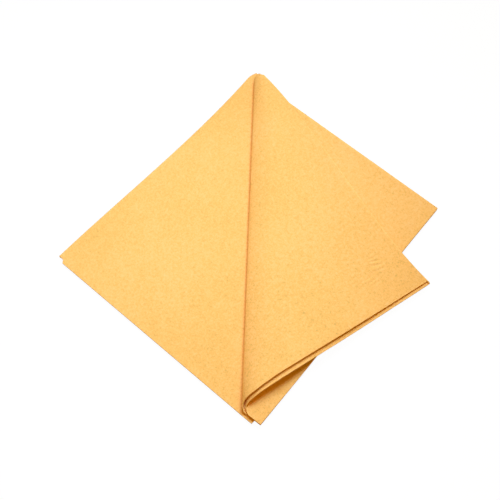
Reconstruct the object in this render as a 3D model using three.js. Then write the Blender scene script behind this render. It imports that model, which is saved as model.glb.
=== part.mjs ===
// Cleaning cloth of needled nonwoven felt, folded in half and in half again, with the upper pair of
// layers turned back along a slanting crease. Millimetres, +Z up.
// The origin is the middle of the underside. +X runs along the closed side fold towards the closed
// corner, +Y runs from the cut edges towards the side fold.
// The cloth is one sheet. Its panels and the bends between them are separate solids, parted by a
// narrow seam, so that the half fold and the turned back flap can open.

import * as THREE from 'three';

// Cut sizes of the quarter that lies below and of the quarter that lies on top of it
const BASE_LENGTH = 300;
const BASE_WIDTH = 260;
const UPPER_LENGTH = 307;
const UPPER_WIDTH = 257;
// The upper pair lies a little askew, in degrees, as hand folding leaves it
const UPPER_SKEW = 2.0;
// The lower ply of the lower pair ends this much short of the ply above it
const CUT_STAGGER = 4;
// The side fold of the lower pair drifts outwards to its cut end, and dips on the way
const SIDE_FOLD_FLARE = 5;
const SIDE_FOLD_DIP = 4;
// The cut edge of the upper pair reaches past the lower pair by this much at the half fold
const UPPER_OVERHANG = 2;

// Felt
const CLOTH_THICKNESS = 1.6;
const LAYER_GAP = 0.4;
const SEAM_GAP = 0.3;

// The crease of the turned back flap: where it leaves the half fold, counted from the closed corner,
// where it meets the cut end, counted from the tip of the leaf, and the radius of the inner bend there
const CREASE_START = 8;
const CREASE_FOOT = 24.5;
const CREASE_RADIUS_START = 1.6;
const CREASE_RADIUS_END = 5.5;
// The flap comes down from the rounded crease onto the layers below over this width
const LOFT_WIDTH = 38;
// The corner of the flap that hangs past the layers below starts to drop here and lands there
const SAG_START = 3;
const SAG_RUN = 36;

// Facets, and how much closer the rows of a flap ply stand at its crease and at its cut edge
const BEND_STEPS = 8;
const CREASE_STEPS = 24;
const FLAP_STEPS = 23;
const FLAP_CROWDING = 1.5;
const EDGE_STEPS = 20;
const CORNER_CLEARANCE = 1.0;

const FELT_COLOUR = 0xfecd7b;
const FELT_ROUGHNESS = 0.95;

// Stack of layers, from the underside up
const PITCH = CLOTH_THICKNESS + LAYER_GAP;
const STACK = [
  'base_lower_layer',
  'base_upper_layer',
  'leaf_lower_layer',
  'leaf_upper_layer',
  'flap_lower_layer',
  'flap_upper_layer',
];
const layerFloor = (layer) => STACK.indexOf(layer) * PITCH;
const layerMiddle = (layer) => layerFloor(layer) + CLOTH_THICKNESS / 2;

// Radii of the tight bends, on the middle of the felt, and how far each stands out past its panels
const SIDE_BEND_RADIUS = PITCH / 2;
const HALF_INNER_RADIUS = PITCH / 2;
const HALF_OUTER_RADIUS = (3 * PITCH) / 2;
const SIDE_BEND_REACH = SIDE_BEND_RADIUS + CLOTH_THICKNESS / 2;
const HALF_BEND_REACH = HALF_OUTER_RADIUS + CLOTH_THICKNESS / 2;

// Plan points of the lower pair
const HALF_X = BASE_LENGTH / 2;
const HALF_Y = BASE_WIDTH / 2;
const PANEL_X = HALF_X - HALF_BEND_REACH;
const PANEL_Y = HALF_Y - SIDE_BEND_REACH;

const plan = (x, y) => new THREE.Vector2(x, y);
const radians = THREE.MathUtils.degToRad;
const lerp = THREE.MathUtils.lerp;

// Plan points of the upper pair before its corner was turned back
const skew = radians(UPPER_SKEW);
const alongUpper = plan(-Math.cos(skew), -Math.sin(skew));
const acrossUpper = plan(Math.sin(skew), -Math.cos(skew));
const upperCorner = plan(PANEL_X, HALF_Y);
const upperFar = plan(HALF_X, HALF_Y).addScaledVector(alongUpper, UPPER_LENGTH);
const upperTip = upperFar.clone().addScaledVector(acrossUpper, UPPER_WIDTH);
const leafFront = plan(PANEL_X, -HALF_Y - UPPER_OVERHANG);

// Crease frame: s runs along the crease from the half fold, p square to it towards the flap.
// The left side of the outer bend is the line p = 0.
const creaseOrigin = plan(HALF_X, HALF_Y - CREASE_START);
const creaseFoot = upperTip.clone().addScaledVector(acrossUpper, -CREASE_FOOT);
const CREASE_LENGTH = creaseFoot.distanceTo(creaseOrigin);
const alongCrease = creaseFoot.clone().sub(creaseOrigin).normalize();
const acrossCrease = plan(-alongCrease.y, alongCrease.x);

function toPlan(s, p) {
  return creaseOrigin.clone().addScaledVector(alongCrease, s).addScaledVector(acrossCrease, p);
}

function toCrease(point) {
  const offset = point.clone().sub(creaseOrigin);
  return { s: offset.dot(alongCrease), p: offset.dot(acrossCrease) };
}

// Distance along the crease at which the straight line p = start + slope * s meets a line in plan
function meetLine(linePoint, lineNormal, start, slope) {
  const reach = linePoint.clone().sub(toPlan(0, start)).dot(lineNormal);
  const direction = alongCrease.clone().addScaledVector(acrossCrease, slope);
  return reach / direction.dot(lineNormal);
}

const halfFoldNormal = plan(1, 0);
const cutEndNormal = alongUpper;
const RADIUS_SLOPE = (CREASE_RADIUS_END - CREASE_RADIUS_START) / CREASE_LENGTH;

// The inner bend joins the facing plies, the outer bend wraps round it one layer further out
const innerRadius = (s) => CREASE_RADIUS_START + RADIUS_SLOPE * s;
const outerRadius = (s) => innerRadius(s) + PITCH;
const bendLine = (s) => outerRadius(s) + CLOTH_THICKNESS / 2;
const bendHeight = (s) => layerMiddle('leaf_upper_layer') + innerRadius(s);

// Range of the crease that a strand of the bend covers, from the half fold to the cut end, where
// turn is the angle round the bend and the strand is straight in the flat cloth
function strandRange(radius, turn) {
  const start = bendLine(0) - radius(0) * turn;
  const slope = RADIUS_SLOPE * (1 - turn);
  return {
    from: meetLine(upperCorner, halfFoldNormal, start, slope),
    to: meetLine(upperFar, cutEndNormal, start, slope),
  };
}

// Place of a point of the flat upper pair once it is turned over the crease, in the crease frame
function turnOver(point, radius) {
  const { s, p } = toCrease(point);
  return { s, p: 2 * bendLine(s) - Math.PI * radius(s) - p };
}

const meanRadius = (s) => (innerRadius(s) + outerRadius(s)) / 2;

// Closed edge of the flap, from beside the closed corner to its free corner
const flapCorner = turnOver(upperCorner, meanRadius);
const flapCornerPlan = toPlan(flapCorner.s, flapCorner.p);
const flapFar = turnOver(upperFar, meanRadius);
const flapFarPlan = toPlan(flapFar.s, flapFar.p);
const alongFlapEdge = flapFarPlan.clone().sub(flapCornerPlan).normalize();
const outOfFlapEdge = plan(-alongFlapEdge.y, alongFlapEdge.x);

// Where the closed edge meets the cut edge of one ply. The ply round the outside of the crease has
// given more of its length to the bend, so its cut edge stays back.
function flapTip(radius) {
  const cutFrom = turnOver(upperFar, radius);
  const cutTo = turnOver(upperTip, radius);
  const start = toPlan(cutFrom.s, cutFrom.p);
  const cutNormal = toPlan(cutTo.s, cutTo.p).sub(start);
  cutNormal.set(-cutNormal.y, cutNormal.x);
  const reach = start.clone().sub(flapCornerPlan).dot(cutNormal) / alongFlapEdge.dot(cutNormal);
  return flapCornerPlan.clone().addScaledVector(alongFlapEdge, reach);
}

// Height of the middle of a flap ply over a point in plan: lofted at the crease, resting on the leaf,
// and dropping to the table past the cut edge of the leaf
const leafEdge = upperTip.clone().sub(leafFront).normalize();
const outOfLeaf = plan(-leafEdge.y, leafEdge.x);
const SAG_DROP = layerFloor('flap_lower_layer') - LAYER_GAP;

function flapHeight(point, layer) {
  const { s, p } = toCrease(point);
  const lift = 2 * innerRadius(s) - PITCH;
  const loft = lift * (1 - THREE.MathUtils.smoothstep(p - bendLine(s), 0, LOFT_WIDTH));
  const past = point.clone().sub(leafFront).dot(outOfLeaf);
  const sag = SAG_DROP * THREE.MathUtils.smoothstep(past, SAG_START, SAG_START + SAG_RUN);
  return layerMiddle(layer) + loft - sag;
}

const felt = new THREE.MeshStandardMaterial({
  color: FELT_COLOUR,
  roughness: FELT_ROUGHNESS,
  metalness: 0,
});

function addPiece(group, name, geometry) {
  const mesh = new THREE.Mesh(geometry, felt.clone());
  mesh.name = name;
  group.add(mesh);
}

// Solid of one ply: a curved middle surface, thickened to both sides and closed all round
const DIFFERENCE_STEP = 1e-4;

function plySolid(surface, stepsU, stepsV) {
  const positions = [];
  for (const side of [1, -1]) {
    for (let i = 0; i <= stepsU; i++) {
      for (let j = 0; j <= stepsV; j++) {
        const u = i / stepsU;
        const v = j / stepsV;
        const alongU = surface(u + DIFFERENCE_STEP, v).sub(surface(u - DIFFERENCE_STEP, v));
        const alongV = surface(u, v + DIFFERENCE_STEP).sub(surface(u, v - DIFFERENCE_STEP));
        const normal = alongU.cross(alongV).normalize();
        const point = surface(u, v).addScaledVector(normal, (side * CLOTH_THICKNESS) / 2);
        positions.push(point.x, point.y, point.z);
      }
    }
  }
  const row = stepsV + 1;
  const below = (stepsU + 1) * row;
  const index = [];
  const quad = (a, b, c, d) => index.push(a, b, c, a, c, d);
  for (let i = 0; i < stepsU; i++) {
    for (let j = 0; j < stepsV; j++) {
      const a = i * row + j;
      quad(a, a + row, a + row + 1, a + 1);
      quad(below + a, below + a + 1, below + a + row + 1, below + a + row);
    }
  }
  for (let i = 0; i < stepsU; i++) {
    const first = i * row;
    const last = first + stepsV;
    quad(first, below + first, below + first + row, first + row);
    quad(last, last + row, below + last + row, below + last);
  }
  for (let j = 0; j < stepsV; j++) {
    const far = stepsU * row + j;
    quad(j, j + 1, below + j + 1, below + j);
    quad(far, below + far, below + far + 1, far + 1);
  }
  const geometry = new THREE.BufferGeometry();
  geometry.setAttribute('position', new THREE.Float32BufferAttribute(positions, 3));
  geometry.setIndex(index);
  return geometry;
}

// Flat ply: an outline in plan, extruded upwards through the felt
function flatPly(shape, layer) {
  const geometry = new THREE.ExtrudeGeometry(shape, { depth: CLOTH_THICKNESS, bevelEnabled: false });
  return geometry.translate(0, 0, layerFloor(layer));
}

// Lower pair

// The half fold bends end where the leaf panel starts
const leafStart = strandRange(innerRadius, 0);
const halfBendTop = toPlan(leafStart.from, bendLine(leafStart.from)).y;
const cornerX = HALF_X - SIDE_BEND_REACH;

// The edge beside the side fold, from the closed corner to the cut end. The dip is deepest at a third
// of the way, where u * (1 - u) ** 2 has its peak.
const DIP_PEAK = 4 / 27;

function sideEdge(u, endX, inset) {
  const dip = (SIDE_FOLD_DIP * u * (1 - u) ** 2) / DIP_PEAK;
  return plan(lerp(cornerX, endX, u), PANEL_Y - inset + SIDE_FOLD_FLARE * u - dip);
}

function basePanel(layer, endX) {
  const seam = SEAM_GAP / 2;
  const shape = new THREE.Shape();
  shape.moveTo(PANEL_X - seam, -HALF_Y);
  shape.lineTo(PANEL_X - seam, halfBendTop + CORNER_CLEARANCE);
  shape.lineTo(cornerX, halfBendTop + CORNER_CLEARANCE);
  for (let i = 0; i <= EDGE_STEPS; i++) {
    const point = sideEdge(i / EDGE_STEPS, endX, seam);
    shape.lineTo(point.x, point.y);
  }
  shape.lineTo(endX, -HALF_Y);
  shape.closePath();
  return flatPly(shape, layer);
}

function baseSideFold(endX) {
  const seamTurn = SEAM_GAP / 2 / SIDE_BEND_RADIUS;
  const middle = (layerMiddle('base_lower_layer') + layerMiddle('base_upper_layer')) / 2;
  const surface = (u, v) => {
    const edge = sideEdge(u, endX, 0);
    const turn = lerp(seamTurn, Math.PI - seamTurn, v);
    const out = SIDE_BEND_RADIUS * Math.sin(turn);
    return new THREE.Vector3(edge.x, edge.y + out, middle - SIDE_BEND_RADIUS * Math.cos(turn));
  };
  return plySolid(surface, EDGE_STEPS, BEND_STEPS);
}

// Half fold between the lower and the upper pair: two nested bends along the same edge

function halfFoldBend(radius) {
  const seamTurn = SEAM_GAP / 2 / radius;
  const middle = (layerMiddle('base_upper_layer') + layerMiddle('leaf_lower_layer')) / 2;
  const surface = (u, v) => {
    const turn = lerp(seamTurn, Math.PI - seamTurn, v);
    const y = lerp(halfBendTop, -HALF_Y, u);
    return new THREE.Vector3(PANEL_X + radius * Math.sin(turn), y, middle - radius * Math.cos(turn));
  };
  return plySolid(surface, 1, BEND_STEPS);
}

// Leaf: the part of the upper pair that still lies on the lower pair

function leafPanel(layer) {
  const seam = SEAM_GAP / 2;
  const cornerAt = (s) => toPlan(s, bendLine(s) + seam);
  const shape = new THREE.Shape();
  const from = cornerAt(meetLine(plan(PANEL_X - seam, 0), halfFoldNormal, bendLine(0) + seam, RADIUS_SLOPE));
  const to = cornerAt(meetLine(upperFar, cutEndNormal, bendLine(0) + seam, RADIUS_SLOPE));
  shape.moveTo(from.x, from.y);
  shape.lineTo(to.x, to.y);
  shape.lineTo(upperTip.x, upperTip.y);
  shape.lineTo(leafFront.x - seam, leafFront.y);
  shape.closePath();
  return flatPly(shape, layer);
}

// Turned back crease: a U turn that widens from the closed corner to the cut end. Its ends follow the
// straight edges of the flat cloth, so they wind round the bend.

function turnBackBend(radius) {
  const seamTurn = SEAM_GAP / 2 / radius(CREASE_LENGTH / 2);
  const surface = (u, v) => {
    const turn = lerp(seamTurn, Math.PI - seamTurn, v);
    const { from, to } = strandRange(radius, turn);
    const s = lerp(from, to, u);
    const point = toPlan(s, bendLine(s) - radius(s) * Math.sin(turn));
    return new THREE.Vector3(point.x, point.y, bendHeight(s) - radius(s) * Math.cos(turn));
  };
  return plySolid(surface, CREASE_STEPS, BEND_STEPS);
}

// Flap: two plies that lie on the leaf, closed along the far edge

function flapPanel(layer, radius) {
  const seam = SEAM_GAP / 2;
  const { from, to } = strandRange(radius, Math.PI);
  const inset = SIDE_BEND_REACH + seam;
  const edgeFrom = flapCornerPlan.clone().addScaledVector(outOfFlapEdge, -inset);
  const edgeTo = flapTip(radius).addScaledVector(outOfFlapEdge, -inset);
  const crowded = (share) => Math.sign(share) * Math.abs(share) ** FLAP_CROWDING;
  const surface = (u, v) => {
    const along = 1 - crowded(1 - u);
    const s = lerp(from, to, along);
    const atCrease = toPlan(s, bendLine(s) + seam);
    const atEdge = edgeFrom.clone().lerp(edgeTo, along);
    const point = atCrease.lerp(atEdge, crowded(v));
    return new THREE.Vector3(point.x, point.y, flapHeight(point, layer));
  };
  return plySolid(surface, FLAP_STEPS, FLAP_STEPS);
}

function flapSideFold() {
  const seamTurn = SEAM_GAP / 2 / SIDE_BEND_RADIUS;
  const edgeFrom = flapCornerPlan.clone().addScaledVector(outOfFlapEdge, -SIDE_BEND_REACH);
  const edgeTo = flapTip(meanRadius).addScaledVector(outOfFlapEdge, -SIDE_BEND_REACH);
  const surface = (u, v) => {
    const turn = lerp(seamTurn, Math.PI - seamTurn, v);
    const edge = edgeFrom.clone().lerp(edgeTo, u);
    const middle = (flapHeight(edge, 'flap_lower_layer') + flapHeight(edge, 'flap_upper_layer')) / 2;
    const point = edge.addScaledVector(outOfFlapEdge, SIDE_BEND_RADIUS * Math.sin(turn));
    return new THREE.Vector3(point.x, point.y, middle - SIDE_BEND_RADIUS * Math.cos(turn));
  };
  return plySolid(surface, FLAP_STEPS, BEND_STEPS);
}

// Assembly

const lowerEnd = -HALF_X + CUT_STAGGER / 2;
const upperEnd = -HALF_X - CUT_STAGGER / 2;

const base = new THREE.Group();
addPiece(base, 'base_lower_layer', basePanel('base_lower_layer', lowerEnd));
addPiece(base, 'base_upper_layer', basePanel('base_upper_layer', upperEnd));
addPiece(base, 'base_side_fold', baseSideFold(-HALF_X));
addPiece(base, 'half_fold_inner_bend', halfFoldBend(HALF_INNER_RADIUS));
addPiece(base, 'half_fold_outer_bend', halfFoldBend(HALF_OUTER_RADIUS));

const leaf = new THREE.Group();
addPiece(leaf, 'leaf_lower_layer', leafPanel('leaf_lower_layer'));
addPiece(leaf, 'leaf_upper_layer', leafPanel('leaf_upper_layer'));
addPiece(leaf, 'turn_back_inner_bend', turnBackBend(innerRadius));
addPiece(leaf, 'turn_back_outer_bend', turnBackBend(outerRadius));

const flap = new THREE.Group();
addPiece(flap, 'flap_lower_layer', flapPanel('flap_lower_layer', innerRadius));
addPiece(flap, 'flap_upper_layer', flapPanel('flap_upper_layer', outerRadius));
addPiece(flap, 'flap_side_fold', flapSideFold());

const cloth = new THREE.Group();
cloth.add(base, leaf, flap);

export default cloth;
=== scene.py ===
"""Folded cleaning cloth of needled felt: the looks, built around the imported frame. Metres, +Z up."""
import math

import bpy
import numpy as np
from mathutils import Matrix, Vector


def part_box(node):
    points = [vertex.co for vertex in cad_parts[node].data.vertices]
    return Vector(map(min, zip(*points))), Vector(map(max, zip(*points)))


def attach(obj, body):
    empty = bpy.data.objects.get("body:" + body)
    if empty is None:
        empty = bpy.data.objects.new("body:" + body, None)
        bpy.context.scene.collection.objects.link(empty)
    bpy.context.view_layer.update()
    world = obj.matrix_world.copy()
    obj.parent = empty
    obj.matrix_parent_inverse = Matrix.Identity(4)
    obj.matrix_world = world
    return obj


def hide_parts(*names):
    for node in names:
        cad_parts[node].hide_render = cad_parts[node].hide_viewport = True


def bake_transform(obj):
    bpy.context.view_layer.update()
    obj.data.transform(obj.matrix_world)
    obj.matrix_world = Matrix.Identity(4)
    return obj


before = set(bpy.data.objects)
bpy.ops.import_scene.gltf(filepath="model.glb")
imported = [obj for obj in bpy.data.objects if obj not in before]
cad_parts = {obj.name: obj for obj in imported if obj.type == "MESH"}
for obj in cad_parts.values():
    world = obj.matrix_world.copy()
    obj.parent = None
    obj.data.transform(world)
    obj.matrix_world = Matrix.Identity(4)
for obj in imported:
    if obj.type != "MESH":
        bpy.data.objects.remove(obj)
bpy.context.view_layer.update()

MM = 0.001

# Cut sizes and folds of the cloth, the same as those of its solids
BASE_LENGTH = 300 * MM
BASE_WIDTH = 260 * MM
UPPER_LENGTH = 307 * MM
UPPER_WIDTH = 257 * MM
UPPER_SKEW = math.radians(2.0)
CUT_STAGGER = 4 * MM
SIDE_FOLD_FLARE = 5 * MM
SIDE_FOLD_DIP = 4 * MM
UPPER_OVERHANG = 2 * MM
CREASE_START = 8 * MM
CREASE_FOOT = 24.5 * MM
CREASE_RADIUS_START = 1.6 * MM
CREASE_RADIUS_END = 5.5 * MM
SAG_START = 3 * MM
SAG_RUN = 55 * MM
SAG_DROP = 3 * MM

# Felt: the thickness and the pitch of its layers come from the frame
LEAF_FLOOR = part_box("leaf_lower_layer")[0].z
LEAF_UPPER_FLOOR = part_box("leaf_upper_layer")[0].z
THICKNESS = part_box("leaf_upper_layer")[1].z - LEAF_UPPER_FLOOR
PITCH = LEAF_UPPER_FLOOR - LEAF_FLOOR
EDGE_ROUNDING = 0.45 * MM
EDGE_STEPS = 5

# Low waves of two sizes run through all layers, less in the lower pair, and fade out at the crease and
# before the half fold
LONG_WAVE = 70 * MM
LONG_LIFT = 0.6 * MM
SHORT_WAVE = 18 * MM
SHORT_LIFT = 0.16 * MM
BASE_SHARE = 0.25
FADE_AT_CREASE = (6 * MM, 36 * MM)
FADE_AT_HALF_FOLD = (30 * MM, 4 * MM)
LONG_SEED, SHORT_SEED, WANDER_SEED, BREAK_SEED = 11, 12, 13, 14
LATTICE = 64

# The closed corner reaches past the half fold, and its tip is rounded
CORNER_REACH = 10.2 * MM
CORNER_ROUNDING = 5 * MM
CORNER_DROP = 2.6 * MM
# Both folds are pressed, so they reach less far out than half circles
SIDE_FOLD_PRESS = 0.8 * MM
HALF_FOLD_PRESS = 0.8
# The cut end of the side fold stays back behind the ply above it, with a step between them
FOLD_END_BACK = 3.4 * MM
FOLD_END_STEP = (0.66, 0.72)
# The closed edge of the flap starts a little past the closed corner, bows out beside it and is drawn
# in where it leaves the leaf
FLAP_CORNER_BACK = 2.7 * MM
FLAP_CORNER_IN = 1.1 * MM
FLAP_BOW = 3.2 * MM
FLAP_PINCH = 4.4 * MM
# The upper ply of the flap stands off the lower one at the cut edge, most beside the crease, and not at
# the closed edge
PLY_LIFT = 1.5 * MM
PLY_LIFT_FROM_FOLD = 105 * MM
PLY_LIFT_AT_CREASE = 0.5 * MM
PLY_LIFT_RUN = 28 * MM
PLY_LIFT_REACH = 45 * MM
# The cut edge of the flap stands off the leaf as a low arch beside the crease, and runs out there
ARCH_LIFT = 3.2 * MM
ARCH_OUT = 0.3 * MM
ARCH_FROM = (18 * MM, 48 * MM)
ARCH_TO = (65 * MM, 130 * MM)
ARCH_RUN = 70 * MM
# The crease stands out at the closed corner and draws in towards the cut end, the inner bend most
DRAW_IN_START = -0.9 * MM
DRAW_IN_END = 1.3 * MM
INNER_DRAW_IN = 1.4 * MM
# Cut ends of the bends, by the angle they have turned: the outer ply runs out where it turns up from the
# lower pair, and the inner ply where it turns on into the flap
END_REACH = 1.8 * MM
END_REACH_FROM = (0, math.pi / 4)
END_REACH_TO = (math.pi / 2, 0.8 * math.pi)
INNER_REACH = 0.8 * MM
INNER_REACH_FROM = (math.pi / 2, math.pi)
# Cut ends of the flap, by the distance from the crease: the lower ply soon draws back in, and the upper
# ply stays back up to its tip, which reaches out. The power keeps all this near the cut end.
INNER_REACH_TO = (9 * MM, 18 * MM)
END_BACK = 1.7 * MM
END_BACK_FROM = (9 * MM, 38 * MM)
TIP_REACH = 0.6 * MM
CUT_END_POWER = 8
# The turned back pair rolls over the crease: a low steep side, then a long rise to a crest, then a fall.
# The side and the crest stand higher at the cut end, and the powers say how late they rise to that.
ROLL_SIDE_START = 3.2 * MM
ROLL_SIDE_END = 4.0 * MM
ROLL_SIDE_POWER = 3
ROLL_ROUND = 1.8
ROLL_STEEP = 0.75
CREST_AT_START = 9 * MM
CREST_AT = 24 * MM
CREST_RUN = 80 * MM
CREST_LOFT_START = 2.0 * MM
CREST_LOFT_RISE = 2.5 * MM
CREST_LOFT_END = 7.0 * MM
CREST_END_POWER = 9
FALL_WIDTH_START = 30 * MM
FALL_WIDTH_END = 110 * MM
# Felt is squeezed thinner on the inside of the crease, most where it stands upright
BEND_SQUEEZE = 0.6
SQUEEZE_POWER = 4
# Fine wrinkles in the flap, over the edge of the leaf: their place from the notch and from that edge,
# where they fade out, how much a line wanders, in radians, and where it breaks off
WRINKLE_WAVE = 4.5 * MM
WRINKLE_LIFT = 0.42 * MM
WRINKLE_TURN = math.radians(78)
WRINKLE_ALONG = 44 * MM
WRINKLE_INSIDE = 14 * MM
WRINKLE_FADE = (9 * MM, 27 * MM)
WRINKLE_WANDER = 4
WRINKLE_WANDER_CELL = 2.6 * WRINKLE_WAVE
WRINKLE_BREAK_CELL = 1.6 * WRINKLE_WAVE
WRINKLE_BREAKS = (-0.5, 0.6)

# Steps of the meshes
PANEL_STEP = 3 * MM
FLAP_STEP = 1.3 * MM
BEND_STEPS = 12
STRIP_STEPS = 16

# Camera, fitted to the corners of the folded cloth
CAMERA_AZIMUTH = math.radians(-49.52)
CAMERA_ELEVATION = math.radians(66.103)
CAMERA_DISTANCE = 898.8 * MM
CAMERA_TARGET = (-14.6 * MM, -10.84 * MM, 0)
CAMERA_LENS = 62.2


# Small helpers

def ease(value, low, high):
    """Smooth step from 0 at low to 1 at high."""
    share = np.clip((value - low) / (high - low), 0, 1)
    return share * share * (3 - 2 * share)


def lerp(a, b, share):
    return a + (b - a) * share


def dot(a, b):
    """Scalar product of two plan points."""
    return np.real(a * np.conj(b))


def cloud(point, cell, seed):
    """Smooth random field from -1 to 1 over plan points, with bumps about one cell across."""
    lattice = np.random.default_rng(seed).uniform(-1, 1, (LATTICE, LATTICE))
    x = np.real(point) / cell
    y = np.imag(point) / cell
    column = np.floor(x).astype(int)
    row = np.floor(y).astype(int)
    across = ease(x - column, 0, 1)
    up = ease(y - row, 0, 1)
    low = lerp(lattice[row % LATTICE, column % LATTICE],
               lattice[row % LATTICE, (column + 1) % LATTICE], across)
    high = lerp(lattice[(row + 1) % LATTICE, column % LATTICE],
                lattice[(row + 1) % LATTICE, (column + 1) % LATTICE], across)
    return lerp(low, high, up)


def solid_points(point, height):
    """Points in space over plan points at a height."""
    height = np.broadcast_to(height, point.shape)
    return np.stack([np.real(point), np.imag(point), height], axis=-1)


# Plan of the folded cloth. A plan point is a complex number, x + iy.

SIDE_BEND_RADIUS = PITCH / 2
HALF_INNER_RADIUS = PITCH / 2
HALF_OUTER_RADIUS = 3 * PITCH / 2
SIDE_BEND_REACH = SIDE_BEND_RADIUS + THICKNESS / 2
HALF_BEND_REACH = HALF_OUTER_RADIUS + THICKNESS / 2
HALF_X = BASE_LENGTH / 2
HALF_Y = BASE_WIDTH / 2
PANEL_X = HALF_X - HALF_BEND_REACH
PANEL_Y = HALF_Y - SIDE_BEND_REACH
LOWER_END = -HALF_X + CUT_STAGGER / 2
UPPER_END = -HALF_X - CUT_STAGGER / 2

BASE_LOWER = THICKNESS / 2
BASE_UPPER = BASE_LOWER + PITCH
LEAF_LOWER = LEAF_FLOOR + THICKNESS / 2
LEAF_UPPER = LEAF_LOWER + PITCH
FLAP_LOWER = LEAF_UPPER + PITCH
FLAP_UPPER = FLAP_LOWER + PITCH

along_upper = -np.exp(1j * UPPER_SKEW)
across_upper = 1j * along_upper
upper_corner = complex(PANEL_X, HALF_Y)
upper_far = complex(HALF_X, HALF_Y) + along_upper * UPPER_LENGTH
upper_tip = upper_far + across_upper * UPPER_WIDTH
leaf_front = complex(PANEL_X, -HALF_Y - UPPER_OVERHANG)

# Crease frame: s runs along the crease from the half fold, p square to it towards the flap
crease_origin = complex(HALF_X, HALF_Y - CREASE_START)
crease_foot = upper_tip - across_upper * CREASE_FOOT
CREASE_LENGTH = abs(crease_foot - crease_origin)
along_crease = (crease_foot - crease_origin) / CREASE_LENGTH
RADIUS_SLOPE = (CREASE_RADIUS_END - CREASE_RADIUS_START) / CREASE_LENGTH


def to_plan(s, p):
    return crease_origin + along_crease * (s + 1j * p)


def to_crease(point):
    local = (point - crease_origin) * np.conj(along_crease)
    return np.real(local), np.imag(local)


def meet_line(line_point, line_normal, start, slope):
    """Distance along the crease at which the line p = start + slope * s meets a line in plan."""
    reach = dot(line_point - to_plan(0, start), line_normal)
    return reach / dot(along_crease * (1 + 1j * slope), line_normal)


def inner_radius(s):
    return CREASE_RADIUS_START + RADIUS_SLOPE * s


def outer_radius(s):
    return inner_radius(s) + PITCH


def mean_radius(s):
    return inner_radius(s) + PITCH / 2


def bend_line(s):
    """Distance from the left side of the crease to where its bends run on into flat cloth."""
    return outer_radius(s) + THICKNESS / 2


def strand_range(radius, turn):
    """Start and end along the crease of a strand of a bend that is straight in the flat cloth."""
    start = bend_line(0) - radius(0) * turn
    slope = RADIUS_SLOPE * (1 - turn)
    return meet_line(upper_corner, 1, start, slope), meet_line(upper_far, along_upper, start, slope)


def turn_over(point, radius):
    """Where a point of the flat upper pair lies once it is turned over the crease."""
    s, p = to_crease(point)
    return to_plan(s, 2 * bend_line(s) - math.pi * radius(s) - p)


flap_corner = turn_over(upper_corner, mean_radius)
flap_far = turn_over(upper_far, mean_radius)
along_flap_edge = (flap_far - flap_corner) / abs(flap_far - flap_corner)
out_of_flap = 1j * along_flap_edge
leaf_edge = (upper_tip - leaf_front) / abs(upper_tip - leaf_front)
out_of_leaf = 1j * leaf_edge
notch = leaf_front + leaf_edge * dot(flap_corner - leaf_front, out_of_flap) / dot(leaf_edge, out_of_flap)


def flap_cut(radius):
    """A point and the direction of the cut edge of a flap ply."""
    start = turn_over(upper_far, radius)
    direction = turn_over(upper_tip, radius) - start
    return start, direction / abs(direction)


def flap_tip(radius):
    """Where the closed edge of the flap meets the cut edge of one ply."""
    start, direction = flap_cut(radius)
    normal = 1j * direction
    reach = dot(start - flap_corner, normal) / dot(along_flap_edge, normal)
    return flap_corner + along_flap_edge * reach


# How soft cloth departs from flat

def settle(point):
    """Lift of all layers over a plan point. It fades out at the crease and at the half fold."""
    s, p = to_crease(point)
    clear = ease(abs(p - bend_line(s) / 2), *FADE_AT_CREASE)
    fade_from, fade_to = FADE_AT_HALF_FOLD
    clear = clear * (1 - ease(np.real(point), PANEL_X - fade_from, PANEL_X - fade_to))
    long_lift = LONG_LIFT * (1 + cloud(point, LONG_WAVE, LONG_SEED)) / 2
    short_lift = SHORT_LIFT * (1 + cloud(point, SHORT_WAVE, SHORT_SEED)) / 2
    return clear * (long_lift + short_lift)


def ply_lift(point):
    """How far the upper ply of the flap stands off the lower one."""
    start, direction = flap_cut(outer_radius)
    from_cut = abs(dot(point - start, 1j * direction))
    s, p = to_crease(point)
    beside = 1 - ease(p - bend_line(s), 0, PLY_LIFT_REACH)
    open_share = ease(dot(flap_corner - point, out_of_flap), 0, PLY_LIFT_FROM_FOLD)
    return (PLY_LIFT * open_share + PLY_LIFT_AT_CREASE * beside) * (1 - ease(from_cut, 0, PLY_LIFT_RUN))


def arch(p):
    """Share of the arch of the flap's cut edge at a distance from the crease."""
    return ease(p, *ARCH_FROM) * (1 - ease(p, *ARCH_TO))


def arch_height(point):
    """How far the flap stands off the leaf beside its cut edge."""
    start, direction = flap_cut(mean_radius)
    from_cut = abs(dot(point - start, 1j * direction))
    return ARCH_LIFT * arch(to_crease(point)[1]) * (1 - ease(from_cut, 0, ARCH_RUN))


def draw_in(s):
    """How far the side of the crease draws in."""
    return lerp(DRAW_IN_START, DRAW_IN_END, s / CREASE_LENGTH)


def inner_draw_in(s):
    return draw_in(s) + INNER_DRAW_IN * ease(s, CREASE_LENGTH / 2, CREASE_LENGTH)


def outer_side(s):
    """Distance from the left side of the crease to the middle of the outer ply."""
    return bend_line(s) - outer_radius(s) + draw_in(s)


def inner_side(s):
    return bend_line(s) - inner_radius(s) + inner_draw_in(s)


def side_height(s):
    """Height at which both bends of the crease stand upright."""
    return LEAF_LOWER + lerp(ROLL_SIDE_START, ROLL_SIDE_END, (s / CREASE_LENGTH) ** ROLL_SIDE_POWER)


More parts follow.
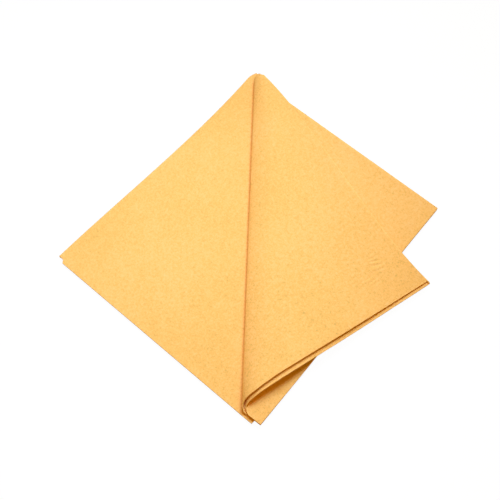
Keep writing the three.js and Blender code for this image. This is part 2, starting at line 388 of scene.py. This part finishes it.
def roll_height(s, p, side, flat):
    """Height of a ply from the side of the crease over the crest down to where it lies flat."""
    crest_at = lerp(CREST_AT_START, CREST_AT, ease(s, 0, CREST_RUN))
    crest_loft = CREST_LOFT_START + CREST_LOFT_RISE * ease(s, 0, CREST_RUN)
    crest_loft = crest_loft + CREST_LOFT_END * (s / CREASE_LENGTH) ** CREST_END_POWER
    fall_width = lerp(FALL_WIDTH_START, FALL_WIDTH_END, s / CREASE_LENGTH)
    before = np.clip((crest_at - p) / (crest_at - side(s)), 0, 1)
    rising = lerp(side_height(s), flat + crest_loft, (1 - before ** ROLL_ROUND) ** ROLL_STEEP)
    falling = flat + crest_loft * (1 - ease(p - crest_at, 0, fall_width))
    return np.where(p < crest_at, rising, falling)


def wrinkles(point):
    """Fine broken wrinkles beside the notch, where the flap leaves the leaf."""
    across = dot(point, np.exp(1j * WRINKLE_TURN))
    wander = WRINKLE_WANDER * cloud(point, WRINKLE_WANDER_CELL, WANDER_SEED)
    broken = ease(cloud(point, WRINKLE_BREAK_CELL, BREAK_SEED), *WRINKLE_BREAKS)
    middle = notch + leaf_edge * WRINKLE_ALONG - out_of_leaf * WRINKLE_INSIDE
    fade = 1 - ease(abs(point - middle), *WRINKLE_FADE)
    return WRINKLE_LIFT * np.sin(2 * math.pi * across / WRINKLE_WAVE + wander) * broken * fade


def flap_height(point, side, flat):
    """Height of a flap ply: rolled over the crease, resting on the leaf, hanging past its cut edge."""
    s, p = to_crease(point)
    past = dot(point - leaf_front, out_of_leaf)
    sag = SAG_DROP * ease(past, SAG_START, SAG_START + SAG_RUN)
    return roll_height(s, p, side, flat) + arch_height(point) - sag + settle(point) + wrinkles(point)


# Felt material

def linear(hex_colour):
    """Linear colour of an sRGB hex value."""
    channels = [int(hex_colour[i:i + 2], 16) / 255 for i in (1, 3, 5)]
    return [c / 12.92 if c <= 0.04045 else ((c + 0.055) / 1.055) ** 2.4 for c in channels] + [1]


def add_node(tree, kind, links=(), **settings):
    """Adds a node, with settings by attribute and, for each input, a value or the socket it takes."""
    node = tree.nodes.new(kind)
    for name, value in settings.items():
        setattr(node, name, value)
    for name, value in dict(links).items():
        if isinstance(value, bpy.types.NodeSocket):
            tree.links.new(value, node.inputs[name])
        else:
            node.inputs[name].default_value = value
    return node


# Tones from the darkest fleck to the palest patch, each with its place on the colour ramp
FELT_TONES = ((0.05, "#DCAC60"), (0.35, "#FEC069"), (0.5, "#FFC778"), (0.7, "#FFCE89"))
# Specks, mottle and clouds: their size, detail and share in the tone
FELT_SPECKS = (2.2 * MM, 2, 0.5)
FELT_MOTTLE = (6 * MM, 2, 0.25)
FELT_CLOUDS = (90 * MM, 1, 0.25)
# Flecks of single fibres: where the noise shows as one, and how much it darkens the tone
FLECK_LENGTH = 3 * MM
FLECK_WIDTH = 0.9 * MM
FLECK_TURNS = (15, 75, 135)
FLECK_FROM, FLECK_FULL = 0.5, 0.9
FLECK_DEPTH = 0.45
# Surface: matte, with fine bumps and almost no gloss
BUMP_STRENGTH = 0.5
BUMP_DEPTH = 0.4 * MM
LEAST_ROUGHNESS, MOST_ROUGHNESS = 0.88, 1.0
SPECULAR_LEVEL = 0.03


def needled_felt():
    """Polyester and viscose fibres needled into a flat felt: matte, almost even in colour, cloudy over a
    hand's width, with short fibres that lie every way and show as darker flecks. Real fibres are finer
    than these, which are drawn as wide as they need to show."""
    material = bpy.data.materials.new("needled_felt")
    material.use_nodes = True
    tree = material.node_tree
    tree.nodes.clear()
    place = add_node(tree, "ShaderNodeTexCoord").outputs["Object"]
    fields = []
    for size, detail, share in (FELT_SPECKS, FELT_MOTTLE, FELT_CLOUDS):
        noise = add_node(tree, "ShaderNodeTexNoise", {
            "Vector": place,
            "Scale": 1 / size,
            "Detail": detail,
        })
        fields.append(add_node(tree, "ShaderNodeMath", {0: noise.outputs["Fac"], 1: share},
                               operation="MULTIPLY").outputs[0])
    fine = add_node(tree, "ShaderNodeMath", {0: fields[0], 1: fields[1]}, operation="ADD").outputs[0]
    tone = add_node(tree, "ShaderNodeMath", {0: fine, 1: fields[2]}, operation="ADD").outputs[0]
    flecks = 0.0
    for turn in FLECK_TURNS:
        turned = add_node(tree, "ShaderNodeMapping", {
            "Vector": place,
            "Rotation": (0, 0, math.radians(turn)),
            "Scale": (FLECK_LENGTH, FLECK_WIDTH, FLECK_WIDTH),
        }, vector_type="TEXTURE")
        noise = add_node(tree, "ShaderNodeTexNoise", {
            "Vector": turned.outputs[0],
            "Scale": 1,
            "Detail": 1,
        })
        strands = add_node(tree, "ShaderNodeMapRange", {
            "Value": noise.outputs["Fac"],
            "From Min": FLECK_FROM,
            "From Max": FLECK_FULL,
        })
        flecks = add_node(tree, "ShaderNodeMath", {0: strands.outputs[0], 1: flecks},
                          operation="MAXIMUM").outputs[0]
    tone = add_node(tree, "ShaderNodeMath", {0: flecks, 1: -FLECK_DEPTH, 2: tone},
                    operation="MULTIPLY_ADD").outputs[0]
    ramp = add_node(tree, "ShaderNodeValToRGB", {"Fac": tone})
    for position, _ in FELT_TONES[1:-1]:
        ramp.color_ramp.elements.new(position)
    for element, (position, colour) in zip(ramp.color_ramp.elements, FELT_TONES):
        element.position = position
        element.color = linear(colour)
    bump = add_node(tree, "ShaderNodeBump", {
        "Height": fine,
        "Strength": BUMP_STRENGTH,
        "Distance": BUMP_DEPTH,
    })
    rough = add_node(tree, "ShaderNodeMapRange", {
        "Value": fine,
        "To Min": LEAST_ROUGHNESS,
        "To Max": MOST_ROUGHNESS,
    })
    shader = add_node(tree, "ShaderNodeBsdfPrincipled", {
        "Base Color": ramp.outputs["Color"],
        "Roughness": rough.outputs["Result"],
        "Normal": bump.outputs["Normal"],
        "Specular IOR Level": SPECULAR_LEVEL,
    })
    add_node(tree, "ShaderNodeOutputMaterial", {"Surface": shader.outputs["BSDF"]})
    return material


felt = needled_felt()


# Sheets: a middle surface, thickened to both sides, with rounded cut edges

def side_seams(shape):
    """Ghost and seam marks for a grid whose first and last columns run on past a seam."""
    ghost = np.zeros(shape, bool)
    ghost[:, [0, -1]] = True
    seam = np.zeros(shape, bool)
    seam[:, [1, -2]] = True
    return ghost, seam


def sheet_piece(name, middle, ghost, seam, inside=None):
    """Closed mesh of a ply from a grid of points on its middle surface.

    Where the grid holds no number there is no cloth. A ghost point runs on past a seam and only helps
    the normals there. A cut edge is rounded, and a seam, where the next piece joins on, is flat. Felt is
    thinner on the inside of a tight bend, by the share that inside gives for each point."""
    # Points, faces and normals of the middle surface, ghosts included
    shown = ~np.isnan(middle[..., 0])
    number = np.where(shown, np.cumsum(shown).reshape(shown.shape) - 1, -1)
    points = middle[shown]
    quads = np.stack([number[:-1, :-1], number[1:, :-1], number[1:, 1:], number[:-1, 1:]], axis=-1)
    quads = quads.reshape(-1, 4)
    quads = quads[(quads >= 0).all(axis=1)]
    diagonal_a = points[quads[:, 2]] - points[quads[:, 0]]
    diagonal_b = points[quads[:, 3]] - points[quads[:, 1]]
    facing = np.cross(diagonal_a, diagonal_b)
    normals = np.zeros_like(points)
    for corner in range(4):
        np.add.at(normals, quads[:, corner], facing)
    normals /= np.linalg.norm(normals, axis=1, keepdims=True)

    # The same without the ghosts
    kept = ~ghost[shown]
    quads = quads[kept[quads].all(axis=1)]
    renumber = np.cumsum(kept) - 1
    quads = renumber[quads]
    points = points[kept]
    normals = normals[kept]
    joined = seam[shown][kept]
    depth = np.ones((len(points), 1)) if inside is None else inside[shown][kept][:, None]
    count = len(points)

    # Rim: edges of one face only, with the way out of the sheet where they are cut
    edges = np.concatenate([quads[:, [i, (i + 1) % 4]] for i in range(4)])
    keys = edges[:, 0] * count + edges[:, 1]
    reverse = edges[:, 1] * count + edges[:, 0]
    rim = edges[~np.isin(keys, reverse)]
    outward = np.zeros_like(points)
    cut = rim[~joined[rim].all(axis=1)]
    sideways = np.cross(points[cut[:, 1]] - points[cut[:, 0]], normals[cut[:, 0]])
    sideways /= np.linalg.norm(sideways, axis=1, keepdims=True)
    np.add.at(outward, cut[:, 0], sideways)
    np.add.at(outward, cut[:, 1], sideways)
    on_cut = np.unique(cut)
    outward[on_cut] /= np.linalg.norm(outward[on_cut], axis=1, keepdims=True)
    on_rim = np.unique(rim)

    # Both sides of the sheet, and rings of faces round its rim
    half = THICKNESS / 2
    depth = depth * half
    places = [points + normals * half, points - normals * depth]
    facings = [normals, -normals]
    rings = [np.arange(count)]
    rim_number = np.full(count, -1)
    rim_number[on_rim] = np.arange(len(on_rim))
    for step in range(1, EDGE_STEPS):
        angle = math.pi * step / EDGE_STEPS
        rise = normals[on_rim] * math.cos(angle)
        reach = outward[on_rim] * math.sin(angle)
        places.append(points[on_rim] + rise * (half if angle < math.pi / 2 else depth[on_rim])
                      + reach * EDGE_ROUNDING)
        facings.append(rise + reach)
        rings.append(rim_number + 2 * count + (step - 1) * len(on_rim))
    rings.append(np.arange(count) + count)
    faces = [quads, quads[:, ::-1] + count]
    a, b = rim[:, 0], rim[:, 1]
    for upper, lower in zip(rings, rings[1:]):
        faces.append(np.stack([lower[a], lower[b], upper[b], upper[a]], axis=1))

    mesh = bpy.data.meshes.new(name)
    mesh.from_pydata(np.concatenate(places).tolist(), [], np.concatenate(faces).tolist())
    mesh.polygons.foreach_set("use_smooth", [True] * len(mesh.polygons))
    mesh.normals_split_custom_set_from_vertices(np.concatenate(facings).tolist())
    piece = bpy.data.objects.new(name, mesh)
    bpy.context.scene.collection.objects.link(piece)
    mesh.materials.append(felt)
    return piece


# Plies that run from the lower pair round the half fold into the leaf

LEAF_FROM, LEAF_TO = strand_range(inner_radius, 0)
leaf_top = to_plan(LEAF_FROM, bend_line(LEAF_FROM))
SPLIT_Y = leaf_top.imag
HALF_FOLD_HEIGHT = (BASE_UPPER + LEAF_LOWER) / 2
SIDE_FOLD_HEIGHT = (BASE_LOWER + BASE_UPPER) / 2
# The dip is u * (1 - u) ** 2 and the bow u * (1 - u) ** 4, divided by their greatest values
DIP_POWER = 2
DIP_PEAK = 4 / 27
BOW_POWER = 4
BOW_PEAK = 0.8 ** BOW_POWER * 0.2
# How late, on its way round the closed edge, the flap's tip goes over to the cut of the upper ply
TIP_SHARPNESS = 3


def side_edge(x):
    """Edge beside the side fold: it flares to the cut end and dips at a third of the way."""
    u = np.maximum((PANEL_X - x) / (PANEL_X - UPPER_END), 0)
    dip = SIDE_FOLD_DIP * u * (1 - u) ** DIP_POWER / DIP_PEAK
    drop = CORNER_DROP * np.maximum((x - PANEL_X) / CORNER_REACH, 0) ** 2
    return PANEL_Y - SIDE_FOLD_PRESS + SIDE_FOLD_FLARE * u - dip - drop


def half_fold_ply(name, base_height, radius, leaf_height, end_x, side_fold):
    """One ply: its base panel, its bend of the half fold and its leaf panel, and its side fold if any.

    Rows run from the cut end of the base round the half fold to the cut end of the leaf. Columns run
    from the front to the crease, and in the base on to the side fold and round it."""
    main = np.linspace(0, 1, round(BASE_WIDTH / PANEL_STEP))
    strip = np.arange(1, STRIP_STEPS + 1) / STRIP_STEPS
    split = len(main) - 1
    beside = slice(split + 1, split + 1 + len(strip))
    fold_turns = np.linspace(math.pi, 0, BEND_STEPS + 1)[1:] if side_fold else np.array([])
    past_turn = -math.pi / BEND_STEPS
    width = len(main) + len(strip) + len(fold_turns) + 1
    base_rows = np.linspace(0, 1, round(BASE_LENGTH / PANEL_STEP))
    bend_turns = np.linspace(0, math.pi, BEND_STEPS + 1)[1:]
    leaf_rows = np.linspace(0, 1, round(UPPER_LENGTH / PANEL_STEP))[1:]
    height = len(base_rows) + len(bend_turns) + len(leaf_rows)
    middle = np.full((height, width, 3), np.nan)
    ghost = np.zeros((height, width), bool)
    seam = np.zeros((height, width), bool)

    # Base panel, out to the rounded closed corner, and its side fold
    tips = np.concatenate([main * 0, ease(strip * (PANEL_Y - SPLIT_Y), 0, CORNER_ROUNDING)])
    tips = np.concatenate([tips, np.ones(width - len(tips))])
    near_x = PANEL_X + CORNER_REACH * tips
    backs = np.concatenate([main * 0, ease(strip, *FOLD_END_STEP)])
    backs = np.concatenate([backs, np.ones(width - len(backs))])
    far_x = end_x + FOLD_END_BACK * backs * (1 if side_fold else 0)
    x = lerp(far_x[None, :], near_x[None, :], base_rows[:, None])
    edge = side_edge(x)
    turns = np.concatenate([main * 0 + math.pi, strip * 0 + math.pi, fold_turns, [past_turn]])
    y = edge + SIDE_BEND_RADIUS * np.sin(turns)[None, :]
    y[:, :split + 1] = lerp(-HALF_Y, SPLIT_Y, main)[None, :]
    y[:, beside] = lerp(SPLIT_Y, edge[:, beside], strip)
    z = np.full_like(y, base_height)
    if side_fold:
        z[:] = SIDE_FOLD_HEIGHT - SIDE_BEND_RADIUS * np.cos(turns)[None, :]
    else:
        y[:, -1] = edge[:, -1] + PANEL_STEP
    plan = x + 1j * y
    rows = len(base_rows)
    middle[:rows] = solid_points(plan, z + settle(plan) * BASE_SHARE)
    ghost[:rows, -1] = True
    seam[:rows, -2] = True

    # Bend of the half fold
    turn = bend_turns[:, None]
    risen = (1 - np.cos(turn)) / 2
    front = -HALF_Y - UPPER_OVERHANG * risen
    y = lerp(front, SPLIT_Y, main[None, :])
    x = PANEL_X + HALF_FOLD_PRESS * radius * np.sin(turn) + y * 0
    z = HALF_FOLD_HEIGHT - radius * np.cos(turn) + y * 0
    middle[rows:rows + len(bend_turns), :split + 1] = np.stack([x, y, z], axis=-1)
    rows += len(bend_turns)

    # Leaf panel, up to the crease, with one ghost column past it
    columns = np.append(main, 2 * main[-1] - main[-2])
    u = np.insert(leaf_rows, 0, 0.0)[:, None]
    s = lerp(LEAF_FROM, LEAF_TO, u)
    crease = to_plan(s, bend_line(s))
    front = lerp(leaf_front, upper_tip, u)
    plan = lerp(front, crease, columns[None, :])
    middle[rows - 1:, :split + 2] = solid_points(plan, leaf_height + settle(plan))
    ghost[rows - 1:, split + 1] = True
    seam[rows - 1:, split] = True
    return sheet_piece(name, middle, ghost, seam)


def panel_area(*corners):
    """Area of a flat panel from its corners in plan."""
    return abs(sum((a.conjugate() * b).imag for a, b in zip(corners, corners[1:] + corners[:1]))) / 2


leaf_foot = to_plan(LEAF_TO, bend_line(LEAF_TO))
LEAF_AREA = panel_area(leaf_front, leaf_top, leaf_foot, upper_tip)

outer_ply = half_fold_ply("outer_ply", BASE_LOWER, HALF_OUTER_RADIUS, LEAF_UPPER, LOWER_END,
                          side_fold=False)
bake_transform(outer_ply)
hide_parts("base_lower_layer", "half_fold_outer_bend", "leaf_upper_layer")

inner_ply = half_fold_ply("inner_ply", BASE_UPPER, HALF_INNER_RADIUS, LEAF_LOWER, UPPER_END,
                          side_fold=True)
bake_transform(inner_ply)
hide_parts("base_upper_layer", "base_side_fold", "half_fold_inner_bend", "leaf_lower_layer")


# Bends of the turned back crease

def crease_bend(name, radius, side, foot, flat, outer):
    """A U turn that widens to the cut end. Its ends wind round as the cut edges of the flat cloth do.

    It turns up from its foot in the leaf, stands upright at the side of the crease and runs on into the
    flap."""
    turns = np.linspace(0, math.pi, 2 * BEND_STEPS + 1)
    step = turns[1]
    turns = np.concatenate([[-step], turns, [math.pi + step]])[None, :]
    u = np.linspace(0, 1, round(CREASE_LENGTH / PANEL_STEP))[:, None]
    start, end = strand_range(radius, turns)
    if outer:
        end = end + END_REACH * ease(turns, *END_REACH_FROM) * (1 - ease(turns, *END_REACH_TO))
    else:
        end = end + INNER_REACH * ease(turns, *INNER_REACH_FROM)
    s = lerp(start, end, u)
    p = bend_line(s) - (bend_line(s) - side(s)) * np.sin(turns)
    plan = to_plan(s, p)
    below = lerp(side_height(s), foot, np.cos(turns))
    height = np.where(turns < math.pi / 2, below, roll_height(s, p, side, flat))
    if outer:
        height = height + ply_lift(plan) * (1 - np.cos(turns)) / 2
    ghost, seam = side_seams(plan.shape)
    inside = 1 - BEND_SQUEEZE * np.sin(turns) ** SQUEEZE_POWER + s * 0
    return sheet_piece(name, solid_points(plan, height), ghost, seam, inside)


# Heights for each bend at the crease, handed to blend_at_crease, which only bakes the piece's transform
# and does not use them
INNER_TURN = (7.6 * MM, 8.9 * MM)
OUTER_TURN = (6.6 * MM, 9.6 * MM)


def blend_at_crease(piece, low, high):
    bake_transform(piece)


inner_bend = crease_bend("turn_back_inner_ply", inner_radius, inner_side, LEAF_UPPER, FLAP_LOWER,
                         outer=False)
blend_at_crease(inner_bend, *INNER_TURN)
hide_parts("turn_back_inner_bend")

outer_bend = crease_bend("turn_back_outer_ply", outer_radius, outer_side, LEAF_LOWER, FLAP_UPPER,
                         outer=True)
blend_at_crease(outer_bend, *OUTER_TURN)
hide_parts("turn_back_outer_bend")


# Flap: its lower ply, its closed edge and its upper ply, as one sheet

def flap_sheet(name):
    """Rows run along the crease to the cut end. Columns run from the crease over the lower ply, round
    the closed edge and back over the upper ply."""
    ply_steps = round(UPPER_WIDTH / FLAP_STEP)
    shares = np.linspace(0, 1, ply_steps)
    turns = np.linspace(0, math.pi, BEND_STEPS + 1)[1:-1]
    step = shares[1]
    share = np.concatenate([[-step], shares, turns * 0 + 1, shares[::-1], [-step]])[None, :]
    turn = np.concatenate([[0], shares * 0, turns, shares * 0 + math.pi, [math.pi]])[None, :]
    over = (1 - np.cos(turn)) / 2
    u = np.linspace(0, 1, round(CREASE_LENGTH / FLAP_STEP))[:, None]
    lower_start, lower_end = strand_range(inner_radius, math.pi)
    upper_start, upper_end = strand_range(outer_radius, math.pi)
    s = lerp(lerp(lower_start, upper_start, over), lerp(lower_end, upper_end, over), u)
    at_crease = to_plan(s, bend_line(s))
    upper_tip_end = flap_tip(outer_radius) + along_flap_edge * TIP_REACH
    tip = lerp(flap_tip(inner_radius), upper_tip_end, over ** TIP_SHARPNESS)
    first = flap_corner + along_flap_edge * FLAP_CORNER_BACK - out_of_flap * FLAP_CORNER_IN
    bow = (FLAP_BOW * u * (1 - u) ** BOW_POWER - FLAP_PINCH * u ** BOW_POWER * (1 - u)) / BOW_PEAK
    at_edge = lerp(first, tip, u) + out_of_flap * (bow - SIDE_BEND_REACH)
    plan = lerp(at_crease, at_edge, share) + out_of_flap * SIDE_BEND_RADIUS * np.sin(turn)
    from_crease = to_crease(plan)[1]
    at_cut = u ** CUT_END_POWER
    runs_out = INNER_REACH * (1 - ease(from_crease, *INNER_REACH_TO)) * (1 - over)
    stays_back = END_BACK * ease(from_crease, *END_BACK_FROM) * (1 - share) * over
    plan = plan + along_flap_edge * ARCH_OUT * arch(from_crease) * at_cut
    plan = plan + along_crease * (runs_out - stays_back) * at_cut
    lower = flap_height(plan, inner_side, FLAP_LOWER)
    upper = flap_height(plan, outer_side, FLAP_UPPER) + ply_lift(plan)
    ghost, seam = side_seams(plan.shape)
    return sheet_piece(name, solid_points(plan, lerp(lower, upper, over)), ghost, seam)


flap = flap_sheet("flap_cloth")
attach(flap, "flap")
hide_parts("flap_lower_layer", "flap_side_fold", "flap_upper_layer")
flap_start, flap_end = strand_range(mean_radius, math.pi)
FLAP_AREA = 2 * panel_area(
    to_plan(flap_start, bend_line(flap_start)),
    flap_corner,
    flap_tip(mean_radius),
    to_plan(flap_end, bend_line(flap_end)),
)


# Stage

# Floor: grey to the light, so that it throws little back, and mostly white to the camera
FLOOR_SIZE = 6.0
FLOOR_DROP = 0.2 * MM
FLOOR_COLOUR = "#6E6E6E"
GLOW_SHARE = 0.75
GLOW_STRENGTH = 1.3
WHITE = "#FFFFFF"
# Warm fill light from all round
WORLD_COLOUR = "#FFCB35"
WORLD_STRENGTH = 0.45
# One large soft box, high beyond the top of the picture and a little to its right, aimed at the left
# half of the cloth
LAMP_PLACE = Vector((0.377, 0.18, 0.787))
LAMP_AIM = Vector((-0.162, 0.028, 0))
LAMP_SIZE = 0.7
LAMP_SPREAD = math.radians(68)
LAMP_WATTS = 2.6
LAMP_COLOUR = "#C9E3FF"


def background_rays(tree):
    """Share that is 1 where the camera sees a surface, straight or by way of gloss or glass, and 0 where
    the surface only lights others."""
    paths = add_node(tree, "ShaderNodeLightPath").outputs
    seen = add_node(tree, "ShaderNodeMath", {0: paths["Is Camera Ray"], 1: paths["Is Glossy Ray"]},
                    operation="MAXIMUM").outputs[0]
    return add_node(tree, "ShaderNodeMath", {0: seen, 1: paths["Is Transmission Ray"]},
                    operation="MAXIMUM").outputs[0]


def white_floor():
    """Matte paper. To the camera it is mostly plain white, and it keeps a soft shadow."""
    material = bpy.data.materials.new("white_paper")
    material.use_nodes = True
    tree = material.node_tree
    tree.nodes.clear()
    share = add_node(tree, "ShaderNodeMath", {0: background_rays(tree), 1: GLOW_SHARE},
                     operation="MULTIPLY").outputs[0]
    paper = add_node(tree, "ShaderNodeBsdfDiffuse", {"Color": linear(FLOOR_COLOUR)}).outputs[0]
    glow = add_node(tree, "ShaderNodeEmission", {
        "Color": linear(WHITE),
        "Strength": GLOW_STRENGTH,
    }).outputs[0]
    mixed = add_node(tree, "ShaderNodeMixShader", {0: share, 1: paper, 2: glow}).outputs[0]
    add_node(tree, "ShaderNodeOutputMaterial", {"Surface": mixed})
    return material


def floor_sheet():
    """Floor just below the cloth, wide enough to fill the view."""
    half = FLOOR_SIZE / 2
    mesh = bpy.data.meshes.new("floor")
    corners = [(-half, -half), (half, -half), (half, half), (-half, half)]
    mesh.from_pydata([(x, y, -FLOOR_DROP) for x, y in corners], [], [(0, 1, 2, 3)])
    floor = bpy.data.objects.new("floor", mesh)
    bpy.context.scene.collection.objects.link(floor)
    mesh.materials.append(white_floor())


def studio_world():
    """Warm fill from all round, as cloth throws on itself, and a plain white backdrop for the camera."""
    world = bpy.data.worlds.new("studio")
    bpy.context.scene.world = world
    world.use_nodes = True
    tree = world.node_tree
    tree.nodes.clear()
    fill = add_node(tree, "ShaderNodeBackground", {
        "Color": linear(WORLD_COLOUR),
        "Strength": WORLD_STRENGTH,
    }).outputs[0]
    backdrop = add_node(tree, "ShaderNodeBackground", {
        "Color": linear(WHITE),
        "Strength": 1.0,
    }).outputs[0]
    mixed = add_node(tree, "ShaderNodeMixShader", {0: background_rays(tree), 1: fill, 2: backdrop})
    add_node(tree, "ShaderNodeOutputWorld", {"Surface": mixed.outputs[0]})


def area_lamp(name, place, aim, size, spread, watts, colour):
    """Round soft box with a grid, which narrows its beam to the spread."""
    data = bpy.data.lights.new(name, "AREA")
    data.shape = "DISK"
    data.size = size
    data.spread = spread
    data.energy = watts
    data.color = linear(colour)[:3]
    lamp = bpy.data.objects.new(name, data)
    lamp.location = place
    lamp.rotation_euler = (aim - place).to_track_quat("-Z", "Y").to_euler()
    bpy.context.scene.collection.objects.link(lamp)


def look_from(azimuth, elevation):
    """Direction from the object to a viewer."""
    level = math.cos(elevation)
    return Vector((math.sin(azimuth) * level, -math.cos(azimuth) * level, math.sin(elevation)))


floor_sheet()
studio_world()
area_lamp("soft_box", LAMP_PLACE, LAMP_AIM, LAMP_SIZE, LAMP_SPREAD, LAMP_WATTS, LAMP_COLOUR)

camera_data = bpy.data.cameras.new("camera")
camera_data.lens = CAMERA_LENS
camera = bpy.data.objects.new("camera", camera_data)
to_camera = look_from(CAMERA_AZIMUTH, CAMERA_ELEVATION)
camera.location = Vector(CAMERA_TARGET) + to_camera * CAMERA_DISTANCE
camera.rotation_euler = to_camera.to_track_quat("Z", "Y").to_euler()
bpy.context.scene.collection.objects.link(camera)
bpy.context.scene.camera = camera
bpy.context.scene.view_settings.view_transform = "Standard"
